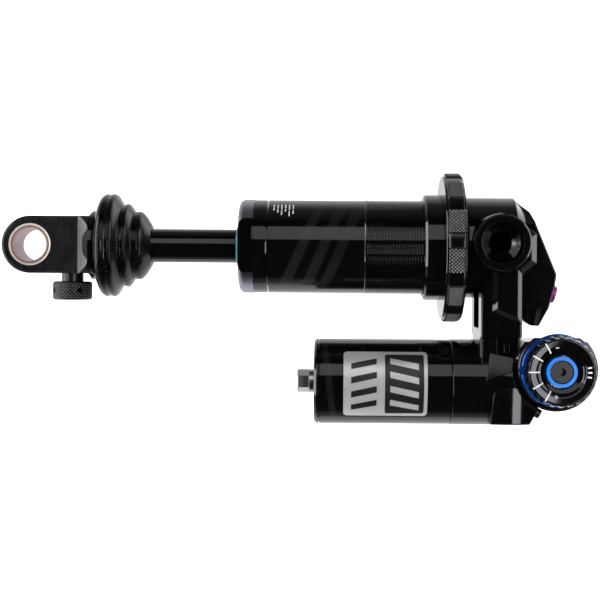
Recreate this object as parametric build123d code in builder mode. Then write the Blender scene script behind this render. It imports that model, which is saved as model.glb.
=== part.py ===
from build123d import *
import os
from math import cos, pi, radians, sin

# Rear shock for a mountain bike: a coil-over damper with a trunnion head, a side
# reservoir and two compression adjusters, with no spring fitted.
#
# +X runs along the shaft from the eyelet to the head, +Z is up, away from the
# reservoir, and -Y is the adjuster side. The origin is the centre of the eyelet's
# bushing bore. The shock is fully extended. Everything is in millimetres.

# --- driving dimensions ------------------------------------------------------

EYE_TO_EYE = 185.0            # eyelet bore to trunnion axis, fully extended
STROKE = 50.0
RUN = 0.05                    # radial gap of a part that slides or turns
FIT = 0.02                    # radial gap of a part that is screwed or pressed in

SHAFT_R = 6.75
TUBE_R = 18.65                # damper tube, smooth part
TUBE_BORE_R = 16.0
THREAD_R = 19.0               # damper tube, over the thread
THREAD_PITCH = 1.125
PRELOAD_TURNS = 5

RESERVOIR_R = 17.0
RESERVOIR_BORE_R = 14.9
RESERVOIR_Z = -53.9           # height of the reservoir axis

TRUNNION_Z = 1.5
TRUNNION_HALF = 27.0          # mid-plane to trunnion face
TRUNNION_THREAD_R = 4.46      # tapping size of M10x1

KNOB_X = 207.9                # compression adjuster axis, which runs along Y
KNOB_Z = -47.8

PRELOAD_TRAVEL = THREAD_PITCH * PRELOAD_TURNS
FLOAT_RATIO = SHAFT_R**2 / RESERVOIR_BORE_R**2
FLOAT_TRAVEL = STROKE * FLOAT_RATIO

SHAFT_LINE = Axis((0, 0, 0), (1, 0, 0))
RESERVOIR_LINE = Axis((0, 0, RESERVOIR_Z), (1, 0, 0))
SIDE = Plane(origin=(0, 0, 0), x_dir=(1, 0, 0), z_dir=(0, -1, 0))
RESERVOIR_SIDE = Plane(origin=(0, 0, RESERVOIR_Z), x_dir=(1, 0, 0), z_dir=(0, -1, 0))
# In this plane the first coordinate is a radius about the adjuster axis and the
# second is the distance towards the adjuster side.
KNOB_PLANE = Plane(origin=(KNOB_X, 0, KNOB_Z), x_dir=(1, 0, 0), z_dir=(0, 0, -1))
KNOB_LINE = Axis((KNOB_X, 0, KNOB_Z), (0, -1, 0))


# --- helpers, called inside an open part --------------------------------------

def turn(plane, line, points, mode=Mode.ADD):
    """Revolve a closed outline of straight lines, drawn in plane, about line."""
    with BuildSketch(plane) as outline:
        with BuildLine():
            Polyline(*points, close=True)
        make_face()
    revolve(outline.sketch, axis=line, mode=mode)


def on_shaft(points, mode=Mode.ADD):
    """Turn an outline of (X, radius) points about the shaft axis."""
    turn(SIDE, SHAFT_LINE, points, mode)


def on_reservoir(points, mode=Mode.ADD):
    """Turn an outline of (X, radius) points about the reservoir axis."""
    turn(RESERVOIR_SIDE, RESERVOIR_LINE, points, mode)


def on_knob(points, mode=Mode.ADD):
    """Turn an outline of (radius, distance to the front) points about the adjuster axis."""
    turn(KNOB_PLANE, KNOB_LINE, points, mode)


def ring(x0, x1, r_out, r_in=0.0):
    """Corners of a plain ring or disc, as (X, radius) points."""
    return [(x0, r_in), (x0, r_out), (x1, r_out), (x1, r_in)]


def knob_ring(front0, front1, r_out, r_in=0.0):
    """Corners of a plain ring or disc, as (radius, distance to the front) points."""
    return [(r_in, front0), (r_out, front0), (r_out, front1), (r_in, front1)]


def o_ring(plane, line, x, r_mid, r_section):
    """Turn a round section into an O-ring."""
    with BuildSketch(plane) as section:
        with Locations((x, r_mid)):
            Circle(r_section)
    revolve(section.sketch, axis=line)


def bore(start, direction, radius, depth):
    """Drill a blind hole from start along direction."""
    with BuildSketch(Plane(origin=start, z_dir=direction)) as mouth:
        Circle(radius)
    extrude(mouth.sketch, amount=depth, mode=Mode.SUBTRACT)


def prism(plane, points, amount, mode=Mode.ADD, both=False):
    """Extrude a closed outline of straight lines."""
    with BuildSketch(plane) as outline:
        with BuildLine():
            Polyline(*points, close=True)
        make_face()
    extrude(outline.sketch, amount=amount, mode=mode, both=both)


os.makedirs("parts", exist_ok=True)


def save(part, name):
    """Label a finished piece and write its STEP file."""
    part.label = name
    export_step(part, f"parts/{name}.step")


# ============================================================================
# Eyelet end, with the rebound adjuster
# ============================================================================

EYE_R = 11.4                  # rounded end of the eyelet
EYE_HALF = 8.25               # half its thickness
EYE_BORE_R = 7.5
EYE_EDGE = 0.9
NECK_X = 19.0                 # end of the flat-sided block
FLARE_X = 23.6                # end of the facets that flare out from the block
FLARE_HALF = 12.3
FLARE_R = 14.3                # their corners are turned down to this radius
FLANGE_X = 25.6               # right face of the round flange
FLANGE_R = 13.8
SOCKET_X = 20.0               # left end of the shaft, inside the eyelet

REBOUND_X = 15.4              # rebound knob axis, which runs along Z
STEM_R = 4.3
CAM_TOP = 2.6
KNOB_TOP = -14.6
KNOB_BASE = -22.0
KNOB_R = 7.8
KNOB_EDGE = 0.7
ROD_R = 2.4

# Facets flare out from the block's two flat sides to the round flange.
with BuildPart() as neck:
    prism(Plane.XY.offset(-EYE_R), [
        (NECK_X - 2, -EYE_HALF), (NECK_X, -EYE_HALF), (FLARE_X, -FLARE_HALF),
        (FLARE_X, FLARE_HALF), (NECK_X, EYE_HALF), (NECK_X - 2, EYE_HALF),
    ], 2 * EYE_R)
    with BuildSketch(Plane.YZ.offset(NECK_X - 2)):
        Circle(FLARE_R)
    extrude(amount=FLARE_X, mode=Mode.INTERSECT)

with BuildPart() as eyelet:
    with BuildSketch(SIDE):
        Circle(EYE_R)
        with Locations((NECK_X / 2, 0)):
            Rectangle(NECK_X, 2 * EYE_R)
    extrude(amount=EYE_HALF, both=True)
    flat_faces = eyelet.faces().filter_by(Axis.Y)
    chamfer(flat_faces.edges(), length=EYE_EDGE)
    add(neck.part)
    on_shaft([
        (SOCKET_X, 0), (SOCKET_X, 8.0), (21.8, EYE_R), (23.7, FLANGE_R),
        (FLANGE_X - 0.3, FLANGE_R), (FLANGE_X, FLANGE_R - 0.3), (FLANGE_X, 0),
    ])
    with BuildSketch(SIDE):
        Circle(EYE_BORE_R)
    extrude(amount=EYE_HALF, both=True, mode=Mode.SUBTRACT)
    bore_edges = eyelet.edges().filter_by(GeomType.CIRCLE)
    bore_edges = bore_edges.filter_by(lambda e: abs(e.radius - EYE_BORE_R) < 0.01)
    chamfer(bore_edges, length=0.7)
    bore((REBOUND_X, 0, -EYE_R - 1), (0, 0, 1), STEM_R + RUN, EYE_R + 1 + CAM_TOP + 0.4)
    bore((REBOUND_X, 0, 0), (1, 0, 0), ROD_R + 0.2, SOCKET_X - REBOUND_X)
    bore((SOCKET_X, 0, 0), (1, 0, 0), SHAFT_R + FIT, FLANGE_X - SOCKET_X + 1)
save(eyelet.part, "eyelet")

BUSHING_HALF = 7.5
LINER_R = 7.05
PIN_BORE_R = 6.35             # half inch mounting pin

with BuildPart() as bushing_shell:
    with BuildSketch(SIDE):
        Circle(EYE_BORE_R - FIT)
        Circle(LINER_R, mode=Mode.SUBTRACT)
    extrude(amount=BUSHING_HALF, both=True)
save(bushing_shell.part, "bushing_shell")

with BuildPart() as bushing_liner:
    with BuildSketch(SIDE):
        Circle(LINER_R - FIT)
        Circle(PIN_BORE_R, mode=Mode.SUBTRACT)
    extrude(amount=BUSHING_HALF, both=True)
save(bushing_liner.part, "bushing_liner")

REBOUND_PLANE = Plane(origin=(REBOUND_X, 0, 0), x_dir=(1, 0, 0), z_dir=(0, -1, 0))
REBOUND_LINE = Axis((REBOUND_X, 0, 0), (0, 0, 1))
SPIGOT_R = 3.0
KEY_HOLE_R = 1.15
KEY_HOLE_ANGLE = -57.0        # first hex key hole, from the adjuster side

with BuildPart() as rebound_knob:
    turn(REBOUND_PLANE, REBOUND_LINE, [
        (SPIGOT_R, KNOB_BASE), (KNOB_R - KNOB_EDGE, KNOB_BASE), (KNOB_R, KNOB_BASE + KNOB_EDGE),
        (KNOB_R, KNOB_TOP - KNOB_EDGE), (KNOB_R - KNOB_EDGE, KNOB_TOP), (SPIGOT_R, KNOB_TOP),
    ])
    for hole in range(4):
        angle = radians(KEY_HOLE_ANGLE + 90 * hole)
        outward = (sin(angle), -cos(angle), 0)
        start = (REBOUND_X + 9 * outward[0], 9 * outward[1], (KNOB_TOP + KNOB_BASE) / 2)
        bore(start, (-outward[0], -outward[1], 0), KEY_HOLE_R, 4.5)
save(rebound_knob.part, "rebound_knob")

# The cam is a snail: its radius grows evenly with the angle, so the rod moves the
# same distance for each degree that the knob turns.
CAM_R = 3.0
CAM_RISE = 1.6                # growth of the radius in one full turn
CAM_SWEEP = 165               # degrees of snail on each side of its middle
CAM_STEPS = 22


def snail_point(step):
    """Point of the cam's outline at one step from -CAM_SWEEP to +CAM_SWEEP."""
    angle = CAM_SWEEP * (2 * step / CAM_STEPS - 1)
    radius = CAM_R - CAM_RISE * angle / 360
    return (radius * cos(radians(angle)), radius * sin(radians(angle)))


with BuildPart() as rebound_cam:
    turn(REBOUND_PLANE, REBOUND_LINE, [
        (0, KNOB_BASE + 1), (SPIGOT_R - FIT, KNOB_BASE + 1), (SPIGOT_R - FIT, KNOB_TOP),
        (STEM_R, KNOB_TOP), (STEM_R, -CAM_TOP - 0.6), (0, -CAM_TOP - 0.6),
    ])
    with BuildSketch(Plane(origin=(REBOUND_X, 0, -CAM_TOP - 0.6))):
        with BuildLine():
            Polyline(*[snail_point(step) for step in range(CAM_STEPS + 1)], close=True)
        make_face()
    extrude(amount=2 * CAM_TOP + 0.6)
save(rebound_cam.part, "rebound_cam")

# ============================================================================
# Shaft and piston
# ============================================================================

SPIGOT_X = 103.4              # shoulder that the piston stack sits against
STACK_END = 119.2
PISTON_BOLT_R = 4.0
PISTON_X0 = 105.4
PISTON_X1 = 113.4
SHAFT_BORE_R = 2.5

with BuildPart() as shaft:
    on_shaft([
        (SOCKET_X, SHAFT_BORE_R), (SOCKET_X, SHAFT_R), (SPIGOT_X, SHAFT_R),
        (SPIGOT_X, PISTON_BOLT_R), (STACK_END + 0.8, PISTON_BOLT_R), (STACK_END + 0.8, 1.5),
        (101.6, 1.5), (101.6, SHAFT_BORE_R),
    ])
save(shaft.part, "shaft")

ROD_X = REBOUND_X + CAM_R + 0.15

with BuildPart() as rebound_rod:
    on_shaft([
        (ROD_X, 0), (ROD_X, ROD_R - 0.4), (ROD_X + 0.4, ROD_R), (97.0, ROD_R), (100.4, 1.1),
        (100.4, 0),
    ])
save(rebound_rod.part, "rebound_rod")

with BuildPart() as top_out_bumper:
    on_shaft([
        (101.3, SHAFT_R + FIT), (101.3, 8.8), (102.3, 10.2), (SPIGOT_X, 10.2),
        (SPIGOT_X, SHAFT_R + FIT),
    ])
save(top_out_bumper.part, "top_out_bumper")


def shim_outline(x0, x1, r_first, r_last):
    """Steps of a stack of four thin discs between x0 and x1."""
    count = 4
    points = [(x0, PISTON_BOLT_R + FIT)]
    for disc in range(count):
        r = r_first + (r_last - r_first) * disc / (count - 1)
        points += [(x0 + (x1 - x0) * disc / count, r), (x0 + (x1 - x0) * (disc + 1) / count, r)]
    return points + [(x1, PISTON_BOLT_R + FIT)]


with BuildPart() as rebound_shims:
    on_shaft(shim_outline(SPIGOT_X, PISTON_X0, 8.6, 13.0))
save(rebound_shims.part, "rebound_shims")

with BuildPart() as piston_shims:
    on_shaft(shim_outline(PISTON_X1, PISTON_X1 + 2.0, 13.0, 8.0))
save(piston_shims.part, "piston_shims")

PISTON_R = 15.6
BAND_FLOOR_R = 14.8

with BuildPart() as main_piston:
    on_shaft([
        (PISTON_X0, PISTON_BOLT_R + FIT), (PISTON_X0, PISTON_R), (107.2, PISTON_R),
        (107.2, BAND_FLOOR_R), (111.6, BAND_FLOOR_R), (111.6, PISTON_R), (PISTON_X1, PISTON_R),
        (PISTON_X1, PISTON_BOLT_R + FIT),
    ])
    with BuildSketch(Plane.YZ.offset(PISTON_X0)):
        with PolarLocations(10.0, 6):
            Circle(1.7)
    extrude(amount=PISTON_X1 - PISTON_X0, mode=Mode.SUBTRACT)
save(main_piston.part, "main_piston")

with BuildPart() as piston_band:
    on_shaft(ring(107.25, 111.55, TUBE_BORE_R - RUN, BAND_FLOOR_R + FIT))
save(piston_band.part, "piston_band")

with BuildPart() as piston_nut:
    with BuildSketch(Plane.YZ.offset(PISTON_X1 + 2.0)):
        RegularPolygon(radius=6.5, side_count=6, major_radius=False)
        Circle(PISTON_BOLT_R + FIT, mode=Mode.SUBTRACT)
    extrude(amount=STACK_END - PISTON_X1 - 2.0)
save(piston_nut.part, "piston_nut")

# Bottom-out bumper: three soft lobes that step down towards the damper.
with BuildPart() as bumper:
    on_shaft([
        (FLANGE_X + 0.02, SHAFT_R + 0.1), (FLANGE_X + 0.02, 13.4), (26.6, 17.0), (28.3, 20.2),
        (29.6, 20.6), (33.0, 20.6), (34.4, 19.4), (36.4, 16.5), (38.6, 16.5), (39.6, 15.6),
        (41.0, 13.7), (43.4, 13.6), (44.6, 12.6), (45.9, 11.0), (46.6, 9.6), (47.5, 8.2),
        (47.5, SHAFT_R + 0.1),
    ])
save(bumper.part, "bumper")

# ============================================================================
# Seal head
# ============================================================================

SEAL_X0 = 82.8
TUBE_X0 = 94.6
NECK_X1 = 101.0
FLAT_HALF = 15.5              # half the width across the wrench flats
FLAT_X1 = 88.4
WIPER_R = 9.2
BUSH_R = 8.0
LIP_SEAL_R = 10.2

with BuildPart() as seal_head:
    with BuildSketch(SIDE):
        with BuildLine():
            Line((SEAL_X0, WIPER_R), (SEAL_X0, 16.25))
            ThreePointArc((SEAL_X0, 16.25), (83.53, 18.02), (85.3, 18.75))
            Polyline(
                (85.3, 18.75), (FLAT_X1 + 0.5, 18.75), (FLAT_X1 + 0.7, TUBE_R), (93.5, TUBE_R),
                (93.5, 18.25), (93.8, 18.25), (93.8, TUBE_R), (94.2, TUBE_R - 0.1),
                (94.2, TUBE_BORE_R - FIT), (96.6, TUBE_BORE_R - FIT), (96.6, 15.0), (98.2, 15.0),
                (98.2, TUBE_BORE_R - FIT), (NECK_X1, TUBE_BORE_R - FIT), (NECK_X1, SHAFT_R + 0.3),
                (98.6, SHAFT_R + 0.3), (98.6, LIP_SEAL_R), (95.0, LIP_SEAL_R),
                (95.0, SHAFT_R + 0.3), (94.0, SHAFT_R + 0.3), (94.0, BUSH_R), (86.4, BUSH_R),
                (86.4, SHAFT_R + 0.3), (85.4, SHAFT_R + 0.3), (85.4, WIPER_R), (SEAL_X0, WIPER_R),
            )
        make_face()
    revolve(axis=SHAFT_LINE)
    for side in (-1, 1):
        with BuildSketch(Plane.XY.offset(-20)):
            with Locations((FLAT_X1, side * FLAT_HALF)):
                Rectangle(8, 6, align=(Align.MAX, Align.MIN if side > 0 else Align.MAX))
        extrude(amount=40, mode=Mode.SUBTRACT)
save(seal_head.part, "seal_head")

with BuildPart() as dust_wiper:
    on_shaft([
        (81.5, SHAFT_R + RUN), (81.5, 7.3), (82.6, 8.2), (SEAL_X0, 8.9), (83.0, WIPER_R - FIT),
        (85.3, WIPER_R - FIT), (85.3, 7.6), (83.4, 7.3), (82.4, SHAFT_R + RUN),
    ])
save(dust_wiper.part, "dust_wiper")

with BuildPart() as shaft_bushing:
    on_shaft(ring(86.45, 93.95, BUSH_R - FIT, SHAFT_R + RUN))
save(shaft_bushing.part, "shaft_bushing")

with BuildPart() as shaft_seal:
    on_shaft([
        (95.05, SHAFT_R + 0.4), (95.05, LIP_SEAL_R - FIT), (98.5, LIP_SEAL_R - 0.4), (98.5, 9.4),
        (96.8, 8.7), (98.3, 7.6), (98.5, SHAFT_R + RUN), (97.6, SHAFT_R + RUN),
    ])
save(shaft_seal.part, "shaft_seal")

with BuildPart() as seal_head_o_ring:
    o_ring(SIDE, SHAFT_LINE, 97.4, 15.5, 0.47)
save(seal_head_o_ring.part, "seal_head_o_ring")

# ============================================================================
# Damper tube and spring preload
# ============================================================================

THREAD_X0 = 132.8
HEAD_X0 = 172.4
TUBE_X1 = 177.2
TUBE_END_R = 18.0

with BuildPart() as damper_tube:
    on_shaft([
        (TUBE_X0, TUBE_BORE_R), (TUBE_X0, TUBE_R - 0.3), (TUBE_X0 + 0.3, TUBE_R),
        (THREAD_X0, TUBE_R), (THREAD_X0 + 0.35, THREAD_R), (HEAD_X0 - 0.1, THREAD_R),
        (HEAD_X0 - 0.1, TUBE_END_R), (174.0, TUBE_END_R), (174.0, 16.9), (175.4, 16.9),
        (175.4, TUBE_END_R), (TUBE_X1, TUBE_END_R), (TUBE_X1, TUBE_BORE_R),
    ])
save(damper_tube.part, "damper_tube")

with BuildPart() as tube_o_ring:
    o_ring(SIDE, SHAFT_LINE, 174.7, 17.45, 0.53)
save(tube_o_ring.part, "tube_o_ring")

SEAT_X0 = 156.0
SEAT_X1 = 164.1
SEAT_FACE_X = 163.4           # the coil's last turn rests on this face
SEAT_R = 21.2
SEAT_FLANGE_R = 28.6
COLLAR_X0 = 164.15
COLLAR_X1 = 171.3
COLLAR_R = 29.95
COLLAR_BORE_R = THREAD_R + RUN
COLLAR_NOTCHES = 12
NOTCH_DEPTH = 0.7
NOTCH_HALF_ANGLE = 6.25
FIRST_NOTCH = 4.0             # angle of a notch's middle, from the adjuster side upwards

with BuildPart() as spring_seat:
    on_shaft([
        (SEAT_X0, THREAD_R + 0.25), (SEAT_X0, 20.4), (SEAT_X0 + 0.8, SEAT_R),
        (SEAT_FACE_X, SEAT_R), (SEAT_FACE_X, SEAT_FLANGE_R - 0.2),
        (SEAT_FACE_X + 0.2, SEAT_FLANGE_R), (SEAT_X1, SEAT_FLANGE_R), (SEAT_X1, THREAD_R + 0.25),
    ])
save(spring_seat.part, "spring_seat")

with BuildPart() as preload_collar:
    on_shaft([
        (COLLAR_X0, COLLAR_BORE_R), (COLLAR_X0, COLLAR_R - 0.6), (COLLAR_X0 + 0.6, COLLAR_R),
        (COLLAR_X1 - 1.3, COLLAR_R), (COLLAR_X1 - 0.4, COLLAR_R - 0.5),
        (COLLAR_X1, COLLAR_R - 1.3), (COLLAR_X1, COLLAR_BORE_R),
    ])
    notch_width = 2 * COLLAR_R * sin(radians(NOTCH_HALF_ANGLE))
    with BuildSketch(Plane.YZ.offset(COLLAR_X0)):
        with PolarLocations(COLLAR_R - NOTCH_DEPTH + 1.5, COLLAR_NOTCHES, 180 - FIRST_NOTCH):
            Rectangle(3.0, notch_width)
    extrude(amount=COLLAR_X1 - COLLAR_X0, mode=Mode.SUBTRACT)
save(preload_collar.part, "preload_collar")

# ============================================================================
# Reservoir
# ============================================================================

CAP_X0 = 113.0
CAP_X1 = 114.8
SOCKET_FACE_X = 167.2         # left face of the head's reservoir socket
SPIGOT_END_X = 178.4
SPIGOT_OUT_R = 15.9

with BuildPart() as reservoir_tube:
    on_reservoir([
        (CAP_X1 + 0.1, RESERVOIR_BORE_R), (CAP_X1 + 0.1, RESERVOIR_R - 0.3),
        (CAP_X1 + 0.4, RESERVOIR_R), (SOCKET_FACE_X - 0.3, RESERVOIR_R),
        (SOCKET_FACE_X, RESERVOIR_R - 0.3), (SOCKET_FACE_X, SPIGOT_OUT_R),
        (174.0, SPIGOT_OUT_R), (174.0, 15.45), (175.0, 15.45), (175.0, SPIGOT_OUT_R),
        (SPIGOT_END_X, SPIGOT_OUT_R), (SPIGOT_END_X, RESERVOIR_BORE_R),
    ])
save(reservoir_tube.part, "reservoir_tube")

with BuildPart() as reservoir_end_cap:
    on_reservoir([
        (CAP_X0, 3.0), (CAP_X0, RESERVOIR_R - 0.9), (CAP_X0 + 0.9, RESERVOIR_R),
        (CAP_X1 - 0.2, RESERVOIR_R), (CAP_X1, RESERVOIR_R - 0.2),
        (CAP_X1, RESERVOIR_BORE_R - FIT), (118.0, RESERVOIR_BORE_R - FIT), (118.0, 13.7),
        (119.8, 13.7), (119.8, RESERVOIR_BORE_R - FIT), (123.0, RESERVOIR_BORE_R - FIT),
        (123.0, 12.6), (117.0, 12.0), (117.0, 3.0),
    ])
save(reservoir_end_cap.part, "reservoir_end_cap")

with BuildPart() as end_cap_o_ring:
    o_ring(RESERVOIR_SIDE, RESERVOIR_LINE, 118.9, 14.3, 0.57)
save(end_cap_o_ring.part, "end_cap_o_ring")

with BuildPart() as reservoir_o_ring:
    o_ring(RESERVOIR_SIDE, RESERVOIR_LINE, 174.5, 15.69, 0.22)
save(reservoir_o_ring.part, "reservoir_o_ring")

VALVE_X0 = 106.0
VALVE_HEX = 8.0               # width across flats

with BuildPart() as charge_valve:
    on_reservoir(ring(111.0, CAP_X0, 4.68, 1.2))
    on_reservoir(ring(CAP_X0, 116.8, 3.0 - FIT, 1.2))
    with BuildSketch(Plane(origin=(VALVE_X0, 0, RESERVOIR_Z), x_dir=(0, 1, 0), z_dir=(1, 0, 0))):
        RegularPolygon(radius=VALVE_HEX / 2, side_count=6, major_radius=False, rotation=30)
    extrude(amount=5.0)
    end_edges = charge_valve.faces().sort_by(Axis.X)[0].edges()
    chamfer(end_edges, length=0.5)
save(charge_valve.part, "charge_valve")

with BuildPart() as valve_core:
    on_reservoir(ring(111.2, 116.0, 1.2 - FIT))
save(valve_core.part, "valve_core")

FLOAT_X0 = 150.0
FLOAT_X1 = 161.0

with BuildPart() as floating_piston:
    on_reservoir([
        (FLOAT_X0, 0), (FLOAT_X0, RESERVOIR_BORE_R - 0.15), (153.6, RESERVOIR_BORE_R - 0.15),
        (153.6, 13.0), (157.0, 13.0), (157.0, RESERVOIR_BORE_R - 0.15),
        (FLOAT_X1, RESERVOIR_BORE_R - 0.15), (FLOAT_X1, 12.4), (155.0, 12.0), (155.0, 0),
    ])
save(floating_piston.part, "floating_piston")

with BuildPart() as floating_piston_seal:
    on_reservoir([
        (153.7, 13.0 + FIT), (153.7, 14.5), (154.2, RESERVOIR_BORE_R - RUN),
        (156.4, RESERVOIR_BORE_R - RUN), (156.9, 14.5), (156.9, 13.0 + FIT),
    ])
save(floating_piston_seal.part, "floating_piston_seal")

# ============================================================================
# Head forging
# ============================================================================

HEAD_R = 20.15
RIM_X = 192.0                 # the barrel's end is coned off from here
HEAD_X1 = 195.4
RIM_R = 16.9
BOSS_R = 11.0
DISH_R = 8.1                  # mouth of the recess in front of the trunnion thread
DISH_FLOOR_R = 7.6
DISH_DEPTH = 9.0
CONE_DEPTH = 1.8              # its floor slopes in to the thread by this much
THREAD_DEPTH = 12.0
BOSS_BLOCK_HALF = 19.0        # the faceted block behind each boss
PLATE_HALF = 14.0             # the end plate
WEB_HALF = 18.8
BRIDGE_HALF = 17.0
BRIDGE_X0 = 178.0
BRIDGE_X1 = 194.0
BRIDGE_Z0 = -35.1             # foot of its full-width part
SADDLE_HALF = 13.6            # the narrower part below
PAD_HALF = 14.9
POCKET_WIDTH = 16.8
POCKET_DEPTH = 7.0
POCKET_Z0 = -32.0
POCKET_Z1 = -5.0
HOUSING_R = 16.4
HOUSING_FRONT = 14.5
HOUSING_BACK = -15.5
HOUSING_FLAT = 11.0           # flat on top of the housing, above its axis
CARTRIDGE_R = 9.6
HOUSING_CLEAR_R = 17.5        # machined flat round the adjusters
CARTRIDGE_FLOOR = -12.0
PORT_R = 2.5
PORT_Y = -9.5                 # the oil port from the barrel runs on the adjuster side
VALVE_PORT_Y = 2.8            # it enters the valve's chamber between cartridge and piston
RETURN_PORT_Y = 9.8           # and the return port leaves from behind the piston
RETURN_PORT_R = 2.0
PORT_X = 189.0
PORT_Z = -41.0
PLUG_R = 3.4
PLUG_HEIGHT = 1.5
PLUG_LENGTH = 4.0
FOOT_Z = -69.0
FOOT_X = 188.6                # middle of the rounded sides
FOOT_HALF = 18.6              # the foot's greatest half width
FOOT_CURVE_R = 30.0           # radius of its rounded sides
BLEED_Y = -11.6
BLEED_R = 1.9
BLEED_HEIGHT = 2.4
FOOT_CORNER = (197.0, FOOT_Z)
FOOT_TOP = (202.2, -60.0)
PLATE_CORNER = (207.1, -15.6)
PLATE_TOE = (204.9, -23.4)
GROOVE = [(195.5, -21.4), (202.1, -23.0), (200.3, -34.0), (193.7, -34.0)]
GROOVE_DEPTH = 1.0
GROOVE_TAPER = 60             # degrees that its walls lean from straight in
PLATE_EDGE = 0.5


def slope(low, high):
    """Outward direction of the slanted face that runs up from low to high."""
    run_x, rise_z = high[0] - low[0], high[1] - low[1]
    length = (run_x**2 + rise_z**2) ** 0.5
    return (rise_z / length, 0, -run_x / length)


def along(low, high, share):
    """Point at a share of the way up from low to high, as (X, Z)."""
    return (low[0] + share * (high[0] - low[0]), low[1] + share * (high[1] - low[1]))


# The foot under the adjuster: its sides are rounded about a vertical axis.
with BuildPart() as foot:
    prism(SIDE, [
        (181.7, FOOT_Z), (183.2, -56.8), (190.6, -54.6), (203.2, -56.6), FOOT_TOP, FOOT_CORNER,
    ], 20, both=True)
    with BuildSketch(Plane.XY.offset(FOOT_Z)):
        with Locations((FOOT_X, FOOT_CURVE_R - FOOT_HALF)):
            Circle(FOOT_CURVE_R)
        with Locations((FOOT_X, FOOT_HALF - FOOT_CURVE_R)):
            Circle(FOOT_CURVE_R, mode=Mode.INTERSECT)
    extrude(amount=20, mode=Mode.INTERSECT)
    chamfer(foot.edges().filter_by(GeomType.CIRCLE), length=0.5)

# A facet on each side of the reservoir socket: it leans in towards the top.
with BuildPart() as facets:
    prism(SIDE, [(182.0, -41.5), (180.0, -53.2), (190.0, -49.8), (190.8, -43.3)], 20, both=True)
    with BuildSketch(Plane.YZ.offset(178)):
        with BuildLine():
            Polyline((-14.9, -40.0), (-17.9, -54.0), (17.9, -54.0), (14.9, -40.0), close=True)
        make_face()
    extrude(amount=20, mode=Mode.INTERSECT)
    low_edges = facets.faces().sort_by(Axis.Z)[0].edges()
    chamfer(low_edges.filter_by(lambda edge: abs(edge.center().Y) > 1), length=1.4)

# The end plate closes the barrel and reaches down behind the bridge.
with BuildPart() as end_plate:
    prism(SIDE, [
        (188.0, 15.0), (191.9, 19.2), (197.7, 14.0), (207.8, -10.4), PLATE_CORNER,
        PLATE_TOE, (200.9, -30.7), (197.9, -30.6), (195.0, -28.9), (192.0, -24.0), (188.0, -16.0),
    ], PLATE_HALF, both=True)
    chamfer(end_plate.faces().filter_by(Axis.Y).edges(), length=PLATE_EDGE)
    # Its shoulders slope down from the middle.
    with BuildSketch(Plane.YZ.offset(180)):
        with BuildLine():
            Polyline(
                (-PLATE_HALF, -35), (-PLATE_HALF, 9.5), (-4.0, 20.0), (4.0, 20.0),
                (PLATE_HALF, 9.5), (PLATE_HALF, -35), close=True,
            )
        make_face()
    extrude(amount=30, mode=Mode.INTERSECT)
    # A groove with sloped walls runs out through the toe on each side.
    for side in (-1, 1):
        with BuildSketch(SIDE.offset(side * PLATE_HALF)) as groove:
            with BuildLine():
                Polyline(*GROOVE, close=True)
            make_face()
        extrude(groove.sketch, amount=-GROOVE_DEPTH * side, taper=GROOVE_TAPER,
                mode=Mode.SUBTRACT)

# The faceted block carries the loads from each trunnion boss into the barrel.
with BuildPart() as boss_block:
    prism(SIDE, [
        (176.0, 9.0), (185.0, 13.6), (194.6, 8.9), (199.4, 5.2), (199.4, -6.1), (193.9, -10.5),
        (185.0, -12.0), (176.0, -8.0),
    ], BOSS_BLOCK_HALF, both=True)
    chamfer(boss_block.faces().filter_by(Axis.Y).edges(), length=2.3)

# The web runs from the block down to the bridge.
with BuildPart() as web:
    prism(SIDE, [
        (182.3, -5.0), (193.7, -5.0), (193.7, -30.0), (182.3, -25.0),
    ], WEB_HALF, both=True)
    chamfer(web.faces().filter_by(Axis.Y).edges(), length=1.8)

with BuildPart() as bridge:
    bridge_middle = (BRIDGE_X0 + BRIDGE_X1) / 2
    with BuildSketch(Plane.XY.offset(BRIDGE_Z0)):
        with Locations((bridge_middle, 0)):
            RectangleRounded(BRIDGE_X1 - BRIDGE_X0, 2 * BRIDGE_HALF, 0.8)
    extrude(amount=-12.0 - BRIDGE_Z0)
    with BuildSketch(Plane.XY.offset(-43.0)):
        with Locations((bridge_middle, 0)):
            RectangleRounded(BRIDGE_X1 - BRIDGE_X0, 2 * SADDLE_HALF, 0.8)
    extrude(amount=BRIDGE_Z0 + 43.0)
    # A pad and a small boss stand out from the saddle on each side.
    prism(SIDE, [
        (178.9, -35.7), (184.5, -35.7), (184.5, -42.0), (182.3, -42.0), (182.3, -47.5),
        (178.0, -47.5), (178.6, -46.0),
    ], PAD_HALF, both=True)
    prism(SIDE, [
        (187.3, -38.1), (189.5, -38.1), (189.5, -41.3), (187.3, -41.3),
    ], PAD_HALF + 0.1, both=True)
    # A pocket in its left face, up to the barrel.
    with BuildSketch(Plane.YZ.offset(BRIDGE_X0)):
        with Locations((0, (POCKET_Z0 + POCKET_Z1) / 2)):
            RectangleRounded(POCKET_WIDTH, POCKET_Z1 - POCKET_Z0, 1.5)
    extrude(amount=POCKET_DEPTH, mode=Mode.SUBTRACT)

plug_x, plug_z = along(PLATE_TOE, PLATE_CORNER, 0.68)
PLUG_PLANE = Plane(
    origin=(plug_x, PORT_Y, plug_z), x_dir=(0, 1, 0), z_dir=slope(PLATE_TOE, PLATE_CORNER)
)

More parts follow.
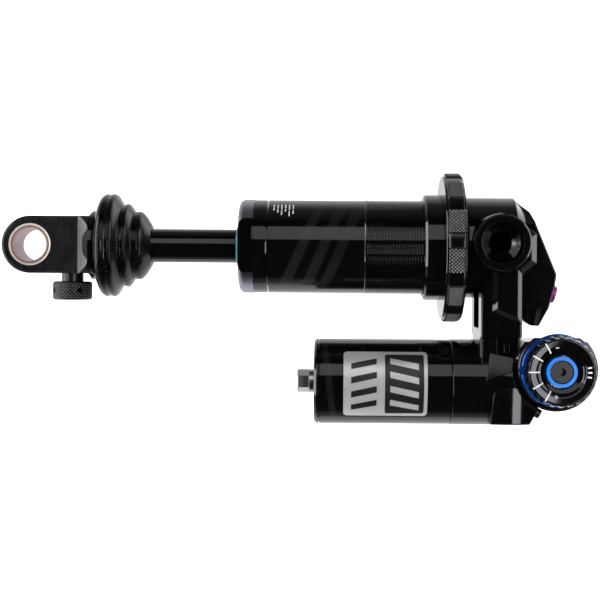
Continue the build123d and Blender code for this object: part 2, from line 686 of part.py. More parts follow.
with BuildPart() as head:
    on_shaft([
        (HEAD_X0, 0), (HEAD_X0, HEAD_R - 0.5), (HEAD_X0 + 0.5, HEAD_R), (RIM_X, HEAD_R),
        (HEAD_X1, RIM_R), (HEAD_X1, 0),
    ])
    add(bridge.part)
    add(web.part)
    add(end_plate.part)
    add(boss_block.part)
    for side in (-1, 1):
        boss_plane = Plane(origin=(EYE_TO_EYE, 0, TRUNNION_Z), x_dir=(1, 0, 0), z_dir=(0, 0, side))
        boss_line = Axis((EYE_TO_EYE, 0, TRUNNION_Z), (0, 1, 0))
        turn(boss_plane, boss_line, [
            (0, 0), (BOSS_R + 0.5, 0), (BOSS_R + 0.5, BOSS_BLOCK_HALF),
            (BOSS_R, BOSS_BLOCK_HALF + 1.5), (BOSS_R, TRUNNION_HALF - 0.6),
            (BOSS_R - 0.6, TRUNNION_HALF), (0, TRUNNION_HALF),
        ])
    on_reservoir([
        (SOCKET_FACE_X, 0), (SOCKET_FACE_X, RESERVOIR_R - 0.2), (SOCKET_FACE_X + 0.3, 17.15),
        (193.0, 17.15), (197.0, 14.0), (197.0, 0),
    ])
    add(foot.part)
    add(facets.part)
    on_knob([
        (0, HOUSING_BACK), (HOUSING_R - 1, HOUSING_BACK), (HOUSING_R, HOUSING_BACK + 1),
        (HOUSING_R, HOUSING_FRONT - 0.8), (HOUSING_R - 0.8, HOUSING_FRONT), (0, HOUSING_FRONT),
    ])
    on_knob(knob_ring(HOUSING_FRONT, 24.0, HOUSING_CLEAR_R), Mode.SUBTRACT)
    prism(SIDE, [
        (BRIDGE_X1 + 0.5, KNOB_Z + HOUSING_FLAT), (226.0, KNOB_Z + HOUSING_FLAT),
        (226.0, KNOB_Z + HOUSING_R + 0.1), (BRIDGE_X1 + 0.5, KNOB_Z + HOUSING_R + 0.1),
    ], 20, Mode.SUBTRACT, both=True)
    on_shaft(ring(HEAD_X0 - 12, HEAD_X0, 30.0), Mode.SUBTRACT)
    # Bores for the tube, the reservoir and the compression valve.
    on_shaft(ring(HEAD_X0 - 1, TUBE_X1 + 0.2, TUBE_END_R + FIT), Mode.SUBTRACT)
    on_reservoir(ring(SOCKET_FACE_X - 1, SPIGOT_END_X + 0.2, SPIGOT_OUT_R + FIT), Mode.SUBTRACT)
    on_reservoir(ring(SPIGOT_END_X, 185.0, 12.0), Mode.SUBTRACT)
    on_knob(knob_ring(CARTRIDGE_FLOOR, HOUSING_FRONT + 1, CARTRIDGE_R + FIT), Mode.SUBTRACT)
    # Trunnion recesses and threads.
    for side in (-1, 1):
        boss_plane = Plane(origin=(EYE_TO_EYE, 0, TRUNNION_Z), x_dir=(1, 0, 0), z_dir=(0, 0, side))
        boss_line = Axis((EYE_TO_EYE, 0, TRUNNION_Z), (0, 1, 0))
        floor = TRUNNION_HALF - DISH_DEPTH
        turn(boss_plane, boss_line, [
            (0, floor - THREAD_DEPTH), (TRUNNION_THREAD_R, floor - THREAD_DEPTH),
            (TRUNNION_THREAD_R, floor), (DISH_FLOOR_R, floor + CONE_DEPTH),
            (DISH_R, TRUNNION_HALF), (DISH_R, TRUNNION_HALF + 1), (0, TRUNNION_HALF + 1),
        ], Mode.SUBTRACT)
    # Oil ports: from the slanted face into the barrel, down the bridge and on to the
    # valve, and from behind the valve into the reservoir.
    inward = -PLUG_PLANE.z_dir
    bore(PLUG_PLANE.origin - inward, inward, PORT_R, 31)
    bore((PORT_X, PORT_Y, -12.0), (0, 0, -1), PORT_R, -12.0 - PORT_Z + PORT_R)
    bore((PORT_X, PORT_Y - PORT_R, PORT_Z), (0, 1, 0), PORT_R, VALVE_PORT_Y - PORT_Y + 2 * PORT_R)
    bore((PORT_X, VALVE_PORT_Y, PORT_Z), (1, 0, 0), PORT_R, KNOB_X - 6.5 - PORT_X)
    bore((184.0, RETURN_PORT_Y, RESERVOIR_Z), (1, 0, 0), RETURN_PORT_R, KNOB_X - 7.0 - 184.0)
save(head.part, "head")

with BuildPart() as port_plug:
    with BuildSketch(PLUG_PLANE.offset(-PLUG_LENGTH)):
        Circle(PORT_R - FIT)
    extrude(amount=PLUG_LENGTH + FIT)
    with BuildSketch(PLUG_PLANE.offset(FIT)):
        Circle(PLUG_R)
    extrude(amount=PLUG_HEIGHT)
    fillet(port_plug.edges().sort_by(Axis.X)[-1], radius=0.5)
save(port_plug.part, "port_plug")

bleed_x, bleed_z = along(FOOT_CORNER, FOOT_TOP, 0.52)
BLEED_PLANE = Plane(
    origin=(bleed_x, BLEED_Y, bleed_z), x_dir=(0, 1, 0), z_dir=slope(FOOT_CORNER, FOOT_TOP)
)

with BuildPart() as bleed_screw:
    with BuildSketch(BLEED_PLANE.offset(FIT)):
        Circle(BLEED_R)
    extrude(amount=BLEED_HEIGHT)
    with BuildSketch(BLEED_PLANE.offset(FIT + BLEED_HEIGHT)):
        RegularPolygon(radius=1.0, side_count=6, major_radius=False)
    extrude(amount=-1.5, mode=Mode.SUBTRACT)
save(bleed_screw.part, "bleed_screw")

# ============================================================================
# Compression valve and its two adjusters
# ============================================================================

RING_FRONT = 18.3
DIAL_BACK = 18.5
DIAL_FRONT = 27.0
DIAL_R = 13.9
SPINDLE_R = 4.8
INNER_SPINDLE_R = 3.2
CAP_R = 4.55
HIGH_RING_R = 6.0
DIAL_HOLE_R = 6.2
SCALLOPS = 24

with BuildPart() as compression_cartridge:
    on_knob([
        (SPINDLE_R + RUN, -2.0), (CARTRIDGE_R, -2.0), (CARTRIDGE_R, 6.0), (8.6, 6.0),
        (8.6, 8.0), (CARTRIDGE_R, 8.0), (CARTRIDGE_R, HOUSING_FRONT + 0.02),
        (15.4, HOUSING_FRONT + 0.02), (15.4, 16.0), (14.8, 16.6), (SPINDLE_R + RUN, 16.6),
    ])
    # Flats for a wrench on its flange.
    for side in (-1, 1):
        with BuildSketch(Plane.XY.offset(KNOB_Z + 12.6 * side)) as flat:
            with Locations((KNOB_X, -HOUSING_FRONT)):
                Rectangle(32, 12)
        extrude(flat.sketch, amount=4 * side, mode=Mode.SUBTRACT)
save(compression_cartridge.part, "compression_cartridge")

with BuildPart() as cartridge_o_ring:
    o_ring(KNOB_PLANE, KNOB_LINE, 9.1, 7.0, 0.48)
save(cartridge_o_ring.part, "cartridge_o_ring")

with BuildPart() as compression_piston:
    on_knob(knob_ring(-7.6, -3.6, 9.3, 2.6))
    with BuildSketch(Plane.XZ.offset(-7.6)):
        with Locations((KNOB_X, KNOB_Z)):
            with PolarLocations(6.3, 6):
                Circle(1.3)
    extrude(amount=4.0, mode=Mode.SUBTRACT)
save(compression_piston.part, "compression_piston")

with BuildPart() as valve_shims:
    for disc, radius in enumerate((8.4, 7.7, 7.0)):
        on_knob(knob_ring(-3.6 + 0.5 * disc, -3.1 + 0.5 * disc, radius, 2.6))
save(valve_shims.part, "valve_shims")

with BuildPart() as valve_bolt:
    on_knob([
        (1.4, -11.6), (4.6, -11.6), (4.6, -7.6), (2.58, -7.6), (2.58, -2.1), (1.4, -2.1),
    ])
save(valve_bolt.part, "valve_bolt")

with BuildPart() as index_ring:
    on_knob([
        (12.6, 16.62), (14.3, 16.62), (14.3, RING_FRONT - 0.3), (14.0, RING_FRONT),
        (12.6, RING_FRONT),
    ])
    pointer_plane = Plane(origin=(KNOB_X, -16.62, KNOB_Z), x_dir=(1, 0, 0), z_dir=(0, -1, 0))
    prism(pointer_plane, [
        (-13.4, 2.0), (-14.3, 1.7), (-15.6, 0), (-14.3, -1.7), (-13.4, -2.0),
    ], RING_FRONT + 0.1 - 16.62)
save(index_ring.part, "index_ring")

with BuildPart() as lsc_dial:
    on_knob([
        (DIAL_HOLE_R, DIAL_BACK), (DIAL_R - 0.9, DIAL_BACK), (DIAL_R - 0.1, 20.0),
        (DIAL_R, 23.0), (DIAL_R - 0.4, 25.6), (DIAL_R - 1.0, DIAL_FRONT - 0.2),
        (DIAL_R - 1.4, DIAL_FRONT), (9.0, 26.4), (8.0, 25.2), (DIAL_HOLE_R, 24.8),
    ])
    with BuildSketch(Plane.XZ.offset(DIAL_BACK)):
        with Locations((KNOB_X, KNOB_Z)):
            with PolarLocations(DIAL_R + 1.1, SCALLOPS):
                Circle(1.7)
    extrude(amount=DIAL_FRONT - DIAL_BACK, mode=Mode.SUBTRACT)
save(lsc_dial.part, "lsc_dial")

with BuildPart() as lsc_spindle:
    on_knob([
        (INNER_SPINDLE_R + RUN, 0.0), (SPINDLE_R, 0.0), (SPINDLE_R, 18.0),
        (DIAL_HOLE_R - FIT, DIAL_BACK), (DIAL_HOLE_R - FIT, 21.0),
        (INNER_SPINDLE_R + RUN, 21.0),
    ])
save(lsc_spindle.part, "lsc_spindle")

with BuildPart() as hsc_spindle:
    on_knob([
        (0, -1.2), (1.0, -1.2), (INNER_SPINDLE_R, 1.0), (INNER_SPINDLE_R, 21.4),
        (0, 21.4),
    ])
save(hsc_spindle.part, "hsc_spindle")

with BuildPart() as hsc_ring:
    on_knob([
        (CAP_R + FIT, 21.42), (HIGH_RING_R, 21.42), (HIGH_RING_R, 25.6), (5.9, 25.9),
        (CAP_R + FIT, 25.9),
    ])
save(hsc_ring.part, "hsc_ring")

with BuildPart() as hsc_cap:
    on_knob([
        (0, 21.42), (CAP_R, 21.42), (CAP_R, 25.4), (4.1, 25.7), (0, 25.7),
    ])
    with BuildSketch(Plane.XZ.offset(25.7)):
        with Locations((KNOB_X, KNOB_Z)):
            RegularPolygon(radius=1.5, side_count=6, major_radius=False)
    extrude(amount=-2.5, mode=Mode.SUBTRACT)
save(hsc_cap.part, "hsc_cap")

print(f"floating piston ratio {FLOAT_RATIO:.5f}, travel {FLOAT_TRAVEL:.3f}")
print(f"preload travel {PRELOAD_TRAVEL:.3f}, cam {CAM_RISE / (2 * pi):.5f} mm per radian")
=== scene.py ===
import math

import bmesh
import bpy
import numpy as np
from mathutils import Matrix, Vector


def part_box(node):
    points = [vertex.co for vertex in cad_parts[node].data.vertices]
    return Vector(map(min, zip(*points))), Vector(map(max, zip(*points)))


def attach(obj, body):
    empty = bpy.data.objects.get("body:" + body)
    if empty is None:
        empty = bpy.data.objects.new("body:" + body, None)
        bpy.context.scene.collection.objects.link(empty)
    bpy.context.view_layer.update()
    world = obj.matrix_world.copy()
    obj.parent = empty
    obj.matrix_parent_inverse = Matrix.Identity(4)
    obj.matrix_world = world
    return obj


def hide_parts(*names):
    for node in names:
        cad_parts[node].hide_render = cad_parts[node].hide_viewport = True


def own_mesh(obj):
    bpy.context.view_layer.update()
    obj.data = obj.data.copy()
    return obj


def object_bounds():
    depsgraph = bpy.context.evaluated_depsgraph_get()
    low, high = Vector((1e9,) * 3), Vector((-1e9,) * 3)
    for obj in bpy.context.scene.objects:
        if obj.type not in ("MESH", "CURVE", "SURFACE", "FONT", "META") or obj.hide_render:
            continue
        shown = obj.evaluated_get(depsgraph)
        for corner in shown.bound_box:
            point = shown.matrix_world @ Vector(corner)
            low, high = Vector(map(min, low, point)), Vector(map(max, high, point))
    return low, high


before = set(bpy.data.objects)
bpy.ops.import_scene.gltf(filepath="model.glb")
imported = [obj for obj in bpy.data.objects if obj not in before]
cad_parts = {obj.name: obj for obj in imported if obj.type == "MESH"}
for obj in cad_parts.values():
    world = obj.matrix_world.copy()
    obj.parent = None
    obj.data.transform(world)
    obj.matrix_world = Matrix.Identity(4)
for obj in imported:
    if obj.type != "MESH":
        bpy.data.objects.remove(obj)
cad_low, cad_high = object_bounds()

# Looks of a coil-over rear shock. The frame's +X runs along the shaft from the
# eyelet to the head, +Z is up and -Y is the adjuster side. Lengths are in metres.

MM = 0.001
TURN = 2 * math.pi

# ============================================================================
# Camera
# ============================================================================

VIEW_DISTANCE = 480 * MM              # camera to the shock's middle plane
VIEW_WIDTH = 241.7 * MM               # what the frame's width covers in that plane
VIEW_X, VIEW_Z = 121.0 * MM, -11.3 * MM
ROLL = math.radians(-0.43)
SHIFT_X, SHIFT_Y = -0.0583, -0.0417

camera_data = bpy.data.cameras.new("camera")
camera = bpy.data.objects.new("camera", camera_data)
bpy.context.scene.collection.objects.link(camera)
bpy.context.scene.camera = camera
camera_data.sensor_width = 36.0
camera_data.lens = 36.0 * VIEW_DISTANCE / VIEW_WIDTH
camera_data.shift_x, camera_data.shift_y = SHIFT_X, SHIFT_Y
camera_data.clip_start, camera_data.clip_end = 0.01, 20.0
camera.location = (VIEW_X, -VIEW_DISTANCE, VIEW_Z)
camera.rotation_euler = (math.radians(90), ROLL, 0)

# ============================================================================
# Materials
# ============================================================================


def new_material(name):
    material = bpy.data.materials.new(name)
    material.use_nodes = True
    return material, material.node_tree.nodes, material.node_tree.links


def scaled_coordinates(nodes, links, scale):
    """Object coordinates, stretched by a scale along each axis."""
    coordinates = nodes.new("ShaderNodeTexCoord")
    mapping = nodes.new("ShaderNodeMapping")
    mapping.inputs["Scale"].default_value = scale
    links.new(coordinates.outputs["Object"], mapping.inputs["Vector"])
    return mapping.outputs["Vector"]


def noise(nodes, links, vector, scale, detail=4.0):
    texture = nodes.new("ShaderNodeTexNoise")
    texture.inputs["Scale"].default_value = scale
    texture.inputs["Detail"].default_value = detail
    links.new(vector, texture.inputs["Vector"])
    return texture.outputs["Fac"]


def spread(nodes, links, value, low, high):
    """Map a noise value, which stays mostly between 0.3 and 0.7, to low..high."""
    node = nodes.new("ShaderNodeMapRange")
    node.inputs["From Min"].default_value = 0.3
    node.inputs["From Max"].default_value = 0.7
    node.inputs["To Min"].default_value = low
    node.inputs["To Max"].default_value = high
    links.new(value, node.inputs["Value"])
    return node.outputs["Result"]


def surface(name, color, color2=None, metallic=0.0, rough=(0.2, 0.28), tint=(1, 1, 1), coat=0.0,
            grain=(1, 1, 1), grain_scale=900.0, bump=0.02, blotch_scale=60.0, edge=0.0):
    """A finish with colour blotches, uneven gloss and a fine grain in its surface.

    edge rounds the look of sharp edges by that radius, as a tumbled forging has them.
    """
    material, nodes, links = new_material(name)
    shader = nodes["Principled BSDF"]
    shader.inputs["Metallic"].default_value = metallic
    shader.inputs["Specular Tint"].default_value = (*tint, 1.0)
    shader.inputs["Coat Weight"].default_value = coat
    shader.inputs["Coat Roughness"].default_value = 0.06
    even = scaled_coordinates(nodes, links, (1, 1, 1))
    blotches = noise(nodes, links, even, blotch_scale, 3.0)
    mix = nodes.new("ShaderNodeMix")
    mix.data_type = "RGBA"
    mix.inputs["A"].default_value = (*color, 1.0)
    mix.inputs["B"].default_value = (*(color2 or [1.25 * part for part in color]), 1.0)
    links.new(spread(nodes, links, blotches, 0.0, 1.0), mix.inputs["Factor"])
    links.new(mix.outputs["Result"], shader.inputs["Base Color"])
    fine = noise(nodes, links, scaled_coordinates(nodes, links, grain), grain_scale, 5.0)
    links.new(spread(nodes, links, fine, *rough), shader.inputs["Roughness"])
    relief = nodes.new("ShaderNodeBump")
    relief.inputs["Strength"].default_value = bump
    relief.inputs["Distance"].default_value = 0.1 * MM
    links.new(fine, relief.inputs["Height"])
    if edge > 0:
        rounding = nodes.new("ShaderNodeBevel")
        rounding.samples = 4
        rounding.inputs["Radius"].default_value = edge
        links.new(rounding.outputs["Normal"], relief.inputs["Normal"])
    links.new(relief.outputs["Normal"], shader.inputs["Normal"])
    return material


LAVENDER = (0.93, 0.92, 1.0)          # tint of the anodising's highlights
BLACK = (0.0016, 0.0016, 0.0018)


def knurled(name, across, middle, crest, depth, crest_highlight):
    """Black anodising with a painted highlight: its colour turns pale on the crests of a knurl.

    The radius is measured from middle, along the object axes that across has as 1.
    """
    material, nodes, links = new_material(name)
    shader = nodes["Principled BSDF"]
    coordinates = nodes.new("ShaderNodeTexCoord")
    offset = nodes.new("ShaderNodeVectorMath")
    offset.operation = "SUBTRACT"
    offset.inputs[1].default_value = middle
    links.new(coordinates.outputs["Object"], offset.inputs[0])
    flatten = nodes.new("ShaderNodeVectorMath")
    flatten.operation = "MULTIPLY"
    flatten.inputs[1].default_value = across
    links.new(offset.outputs["Vector"], flatten.inputs[0])
    length = nodes.new("ShaderNodeVectorMath")
    length.operation = "LENGTH"
    links.new(flatten.outputs["Vector"], length.inputs[0])
    height = nodes.new("ShaderNodeMapRange")
    height.inputs["From Min"].default_value = crest - depth
    height.inputs["From Max"].default_value = crest
    links.new(length.outputs["Value"], height.inputs["Value"])
    fine = noise(nodes, links, scaled_coordinates(nodes, links, (1, 1, 1)), 700.0, 4.0)
    # painted highlight: the colour turns pale towards the outermost radius, the knurl's crests
    highlight_share = nodes.new("ShaderNodeMath")
    highlight_share.operation = "MULTIPLY"
    links.new(height.outputs["Result"], highlight_share.inputs[0])
    links.new(spread(nodes, links, fine, 0.35, 1.0), highlight_share.inputs[1])
    mix = nodes.new("ShaderNodeMix")
    mix.data_type = "RGBA"
    mix.inputs["A"].default_value = (*BLACK, 1)
    mix.inputs["B"].default_value = (*crest_highlight, 1)
    links.new(highlight_share.outputs["Value"], mix.inputs["Factor"])
    links.new(mix.outputs["Result"], shader.inputs["Base Color"])
    links.new(spread(nodes, links, fine, 0.10, 0.16), shader.inputs["Roughness"])
    shader.inputs["Specular Tint"].default_value = (*LAVENDER, 1.0)
    return material


ALONG_X = (0.06, 1, 1)                # grain drawn out along the shaft
ALONG_Z = (1, 1, 0.05)                # grain drawn out upwards
EDGE = 0.28 * MM                      # how far sharp edges look rounded
COLLAR_R = 29.95 * MM

FINISH = {
    "forged_black": surface("forged_black", BLACK, rough=(0.05, 0.085), tint=LAVENDER,
                            grain_scale=260.0, bump=0.06, edge=EDGE),
    "plain_black": surface("plain_black", BLACK, rough=(0.07, 0.12), tint=LAVENDER,
                           grain_scale=700.0, edge=EDGE),
    "tube_black": surface("tube_black", BLACK, rough=(0.045, 0.075), tint=LAVENDER,
                          grain=(1, 0.1, 0.1), grain_scale=700.0, bump=0.01),
    "satin_black": surface("satin_black", (0.004, 0.004, 0.0045), rough=(0.24, 0.34),
                           tint=LAVENDER, grain_scale=1500.0, bump=0.05),
    "shaft_black": surface("shaft_black", BLACK, rough=(0.05, 0.09), tint=LAVENDER,
                           grain=ALONG_X, grain_scale=900.0, bump=0.01),
    "dial_black": surface("dial_black", BLACK, rough=(0.07, 0.11), tint=LAVENDER,
                          grain_scale=1600.0, bump=0.03),
    "tone_grey": surface("tone_grey", (0.005, 0.005, 0.0055), (0.008, 0.008, 0.0085),
                         rough=(0.10, 0.16), tint=LAVENDER, grain_scale=900.0),
    "bare_aluminium": surface("bare_aluminium", (0.80, 0.78, 0.74), metallic=1.0,
                              rough=(0.18, 0.32), grain_scale=1200.0, bump=0.04),
    "grey_hex": surface("grey_hex", (0.40, 0.40, 0.42), metallic=1.0, rough=(0.25, 0.38),
                        grain_scale=1200.0, bump=0.06, edge=0.15 * MM),
    "blue": surface("blue", (0.0, 0.15, 0.60), (0.0, 0.18, 0.68), rough=(0.16, 0.24),
                    grain_scale=1200.0),
    "deep_blue": surface("deep_blue", (0.003, 0.035, 0.20), (0.006, 0.10, 0.50), metallic=0.5,
                         rough=(0.16, 0.26), grain_scale=1200.0),
    "magenta": surface("magenta", (0.26, 0.01, 0.20), (0.36, 0.03, 0.28), metallic=0.5,
                       rough=(0.22, 0.3), coat=0.3),
    "steel": surface("steel", (0.50, 0.50, 0.52), metallic=1.0, rough=(0.2, 0.35)),
    "black_screw": surface("black_screw", (0.004, 0.004, 0.004), rough=(0.25, 0.35)),
    "brass": surface("brass", (0.62, 0.42, 0.16), metallic=1.0, rough=(0.25, 0.4)),
    "bronze": surface("bronze", (0.16, 0.08, 0.045), (0.26, 0.14, 0.08), metallic=0.6,
                      rough=(0.35, 0.55), blotch_scale=900.0),
    "edge_aluminium": surface("edge_aluminium", (0.56, 0.52, 0.46), (0.64, 0.60, 0.53),
                              metallic=0.35, rough=(0.35, 0.45), grain_scale=1500.0),
    "liner": surface("liner", (0.24, 0.15, 0.16), (0.40, 0.28, 0.31), metallic=0.3,
                     rough=(0.3, 0.5), blotch_scale=1800.0),
    "seal": surface("seal", (0.010, 0.010, 0.010), rough=(0.45, 0.6), bump=0.1),
    "teal": surface("teal", (0.0, 0.17, 0.19), (0.0, 0.24, 0.27), rough=(0.3, 0.45)),
    "paint_white": surface("paint_white", (0.66, 0.66, 0.66), (0.76, 0.76, 0.76),
                           rough=(0.35, 0.5)),
    "label_silver": surface("label_silver", (0.40, 0.41, 0.42), (0.50, 0.51, 0.52),
                            metallic=0.5, rough=(0.28, 0.38), grain=ALONG_X,
                            grain_scale=1600.0, bump=0.04),
    "label_black": surface("label_black", (0.006, 0.006, 0.007), rough=(0.30, 0.40)),
    # the last colour is a painted highlight on the collar knurl's crests
    "collar_knurl": knurled("collar_knurl", (0, 1, 1), (0, 0, 0), COLLAR_R, 0.14 * MM,
                            (0.30, 0.30, 0.31)),
}


def speckled_rubber():
    """Microcellular urethane: black, with paler pores and flecks that catch the light."""
    material, nodes, links = new_material("speckled_rubber")
    shader = nodes["Principled BSDF"]
    vector = scaled_coordinates(nodes, links, (1, 1, 1))
    fine = noise(nodes, links, vector, 1500.0, 3.0)
    ramp = nodes.new("ShaderNodeValToRGB")
    ramp.color_ramp.elements[0].position = 0.52
    ramp.color_ramp.elements[0].color = (0.0008, 0.0008, 0.001, 1)
    ramp.color_ramp.elements[1].position = 0.70
    ramp.color_ramp.elements[1].color = (0.010, 0.010, 0.011, 1)
    links.new(fine, ramp.inputs["Fac"])
    links.new(ramp.outputs["Color"], shader.inputs["Base Color"])
    links.new(spread(nodes, links, fine, 0.18, 0.11), shader.inputs["Roughness"])
    shader.inputs["Specular IOR Level"].default_value = 0.22
    shader.inputs["Specular Tint"].default_value = (*LAVENDER, 1.0)
    relief = nodes.new("ShaderNodeBump")
    relief.inputs["Strength"].default_value = 0.35
    relief.inputs["Distance"].default_value = 0.14 * MM
    links.new(fine, relief.inputs["Height"])
    links.new(relief.outputs["Normal"], shader.inputs["Normal"])
    return material


FINISH["speckled_rubber"] = speckled_rubber()


def turns_glossy(material, beyond_x, beyond_y=1.0):
    """Let a satin finish turn to black gloss beyond a place in X, or a distance in Y."""
    nodes, links = material.node_tree.nodes, material.node_tree.links
    shader = nodes["Principled BSDF"]
    coordinates = nodes.new("ShaderNodeTexCoord")
    split = nodes.new("ShaderNodeSeparateXYZ")
    links.new(coordinates.outputs["Object"], split.inputs["Vector"])
    distance = nodes.new("ShaderNodeMath")
    distance.operation = "ABSOLUTE"
    links.new(split.outputs["Y"], distance.inputs[0])
    steps = []
    for value, limit in ((split.outputs["X"], beyond_x), (distance.outputs["Value"], beyond_y)):
        step = nodes.new("ShaderNodeMapRange")
        step.inputs["From Min"].default_value = limit - 0.02 * MM
        step.inputs["From Max"].default_value = limit + 0.02 * MM
        links.new(value, step.inputs["Value"])
        steps.append(step.outputs["Result"])
    either = nodes.new("ShaderNodeMath")
    either.operation = "MAXIMUM"
    links.new(steps[0], either.inputs[0])
    links.new(steps[1], either.inputs[1])
    for socket, gloss in (("Base Color", (*BLACK, 1)), ("Metallic", 0.0), ("Roughness", 0.07)):
        mix = nodes.new("ShaderNodeMix")
        mix.data_type = "RGBA" if socket == "Base Color" else "FLOAT"
        sockets = {part.name: part for part in mix.inputs if part.enabled}
        links.new(either.outputs["Value"], sockets["Factor"])
        if shader.inputs[socket].is_linked:
            links.new(shader.inputs[socket].links[0].from_socket, sockets["A"])
        else:
            sockets["A"].default_value = shader.inputs[socket].default_value
        sockets["B"].default_value = gloss
        result = [part for part in mix.outputs if part.enabled][0]
        links.new(result, shader.inputs[socket])
    return material


FLAT_Y = 15.5 * MM                    # the seal head's wrench flats
HEAD_GLOSS_X = 88.75 * MM             # past its flats the seal head is black gloss
EYELET_GLOSS_X = 23.45 * MM           # so is the eyelet's turned flange
FINISH["seal_head_black"] = turns_glossy(
    surface("seal_head_black", (0.27, 0.26, 0.305), (0.30, 0.29, 0.34), metallic=1.0,
            rough=(0.30, 0.36), tint=LAVENDER, grain_scale=1800.0),
    HEAD_GLOSS_X, FLAT_Y - 0.1 * MM)
FINISH["brushed_black"] = turns_glossy(
    surface("brushed_black", (0.0035, 0.0035, 0.004), (0.010, 0.010, 0.011),
            rough=(0.18, 0.30), tint=LAVENDER, grain=ALONG_Z, grain_scale=1500.0, bump=0.4,
            blotch_scale=200.0, edge=EDGE), EYELET_GLOSS_X)

NODE_FINISH = {
    "head": "forged_black", "eyelet": "brushed_black", "bushing_shell": "bronze",
    "bushing_liner": "liner", "shaft": "shaft_black", "seal_head": "seal_head_black",
    "dust_wiper": "teal", "spring_seat": "tube_black", "reservoir_tube": "tube_black",
    "reservoir_end_cap": "plain_black", "charge_valve": "grey_hex", "valve_core": "brass",
    "compression_cartridge": "satin_black", "index_ring": "deep_blue", "port_plug": "magenta",
    "bleed_screw": "black_screw", "hsc_ring": "blue", "hsc_cap": "satin_black",
    "rebound_cam": "black_screw", "shaft_bushing": "bronze", "rebound_shims": "steel",
    "piston_shims": "steel", "piston_nut": "steel", "valve_shims": "steel", "valve_bolt": "steel",
    "piston_band": "liner", "main_piston": "bare_aluminium", "rebound_rod": "bare_aluminium",
    "compression_piston": "bare_aluminium", "floating_piston": "bare_aluminium",
    "lsc_spindle": "bare_aluminium", "hsc_spindle": "bare_aluminium",
}
for node_name, node_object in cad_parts.items():
    finish = FINISH[NODE_FINISH.get(node_name, "seal")]
    for material_slot in node_object.material_slots:
        material_slot.material = finish

# ============================================================================
# Mesh helpers
# ============================================================================


def about_x(height=0.0):
    """Place (along, radius, angle) about a line along X. Angle 0 faces -Y and 90 degrees +Z."""
    def place(along, radius, angle):
        across = np.broadcast_arrays(along, -radius * np.cos(angle),
                                     height + radius * np.sin(angle))
        return np.stack(across, axis=-1)
    return place


def about_z(x):
    """Place (along, radius, angle) about a vertical line. Angle 0 faces -Y and 90 degrees +X."""
    def place(along, radius, angle):
        across = np.broadcast_arrays(x + radius * np.sin(angle), -radius * np.cos(angle), along)
        return np.stack(across, axis=-1)
    return place


def about_y(x, z):
    """Place (along, radius, angle) about a line along Y. along grows towards -Y.

    Angle 0 points to +X and 90 degrees to +Z.
    """
    def place(along, radius, angle):
        across = np.broadcast_arrays(x + radius * np.cos(angle), -along,
                                     z + radius * np.sin(angle))
        return np.stack(across, axis=-1)
    return place


def build(name, vertices, faces, finish, body, sharp=35):
    """Make a mesh piece with outward normals that rides on a body."""
    mesh = bpy.data.meshes.new(name)
    mesh.from_pydata(vertices.tolist(), [], faces)
    shape = bmesh.new()
    shape.from_mesh(mesh)
    bmesh.ops.remove_doubles(shape, verts=shape.verts, dist=1e-7)
    bmesh.ops.recalc_face_normals(shape, faces=shape.faces)
    shape.to_mesh(mesh)
    shape.free()
    mesh.shade_smooth()
    mesh.set_sharp_from_angle(angle=math.radians(sharp))
    piece = bpy.data.objects.new(name, mesh)
    bpy.context.scene.collection.objects.link(piece)
    mesh.materials.append(FINISH[finish])
    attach(piece, body)
    return piece


def ring_faces(rows, columns, wrap_rows):
    """Quads of a grid whose columns close into rings."""
    faces = []
    for row in range(rows if wrap_rows else rows - 1):
        below = row * columns
        above = (row + 1) % rows * columns
        for column in range(columns):
            after = (column + 1) % columns
            faces.append((below + column, below + after, above + after, above + column))
    return faces


def soften(outline, size, steps=4):
    """Round each corner of a closed outline by a short curve."""
    points = [Vector((*point, 0)) for point in outline]
    rounded = []
    for index, corner in enumerate(points):
        before = points[index - 1] - corner
        after = points[(index + 1) % len(points)] - corner
        start = corner + before.normalized() * min(size, 0.4 * before.length)
        end = corner + after.normalized() * min(size, 0.4 * after.length)
        for step in range(steps + 1):
            share = step / steps
            point = start.lerp(corner, share).lerp(corner.lerp(end, share), share)
            rounded.append((point.x, point.y))
    return rounded


def refine(outline, step):
    """Add points so that no side of a closed outline is longer than step."""
    points = []
    for index, start in enumerate(outline):
        end = outline[(index + 1) % len(outline)]
        parts = max(1, math.ceil(math.dist(start, end) / step))
        for part in range(parts):
            share = part / parts
            points.append((start[0] + share * (end[0] - start[0]),
                           start[1] + share * (end[1] - start[1])))
    return points


def lathe(name, outline, place, finish, body, columns=192, relief=None, sharp=35):
    """Turn a closed outline of (along, radius).

    relief gives what to add to the radius at (along, radius, angle).
    """
    along = np.array([point[0] for point in outline])[:, None]
    radius = np.array([point[1] for point in outline])[:, None]
    angle = np.arange(columns)[None, :] * TURN / columns
    if relief is not None:
        radius = radius + relief(along, radius, angle)
    vertices = place(along, radius, angle).reshape(-1, 3)
    faces = ring_faces(len(outline), columns, True)
    return build(name, vertices, faces, finish, body, sharp)


def zigzag(value):
    """Triangle wave: 0 at whole numbers and 1 halfway between."""
    return 1 - np.abs(2 * (value - np.floor(value)) - 1)


def diamonds(along, angle, radius, pitch):
    """Height, 0 to 1, of a diamond knurl: two sets of grooves that cross."""
    count = round(TURN * radius / pitch)
    around = count * angle / TURN
    first = zigzag(around + along / pitch)
    second = zigzag(around - along / pitch)
    return np.clip(1.7 * np.minimum(first, second), 0, 1)


def cut(piece, cutters):
    """Subtract cutter objects from a piece and remove them."""
    for cutter in cutters:
        modifier = piece.modifiers.new("cut", "BOOLEAN")
        modifier.object = cutter
        modifier.solver = "EXACT"
    bpy.context.view_layer.update()
    evaluated = piece.evaluated_get(bpy.context.evaluated_depsgraph_get())
    mesh = bpy.data.meshes.new_from_object(evaluated)
    piece.modifiers.clear()
    piece.data = mesh
    for cutter in cutters:
        bpy.data.objects.remove(cutter)


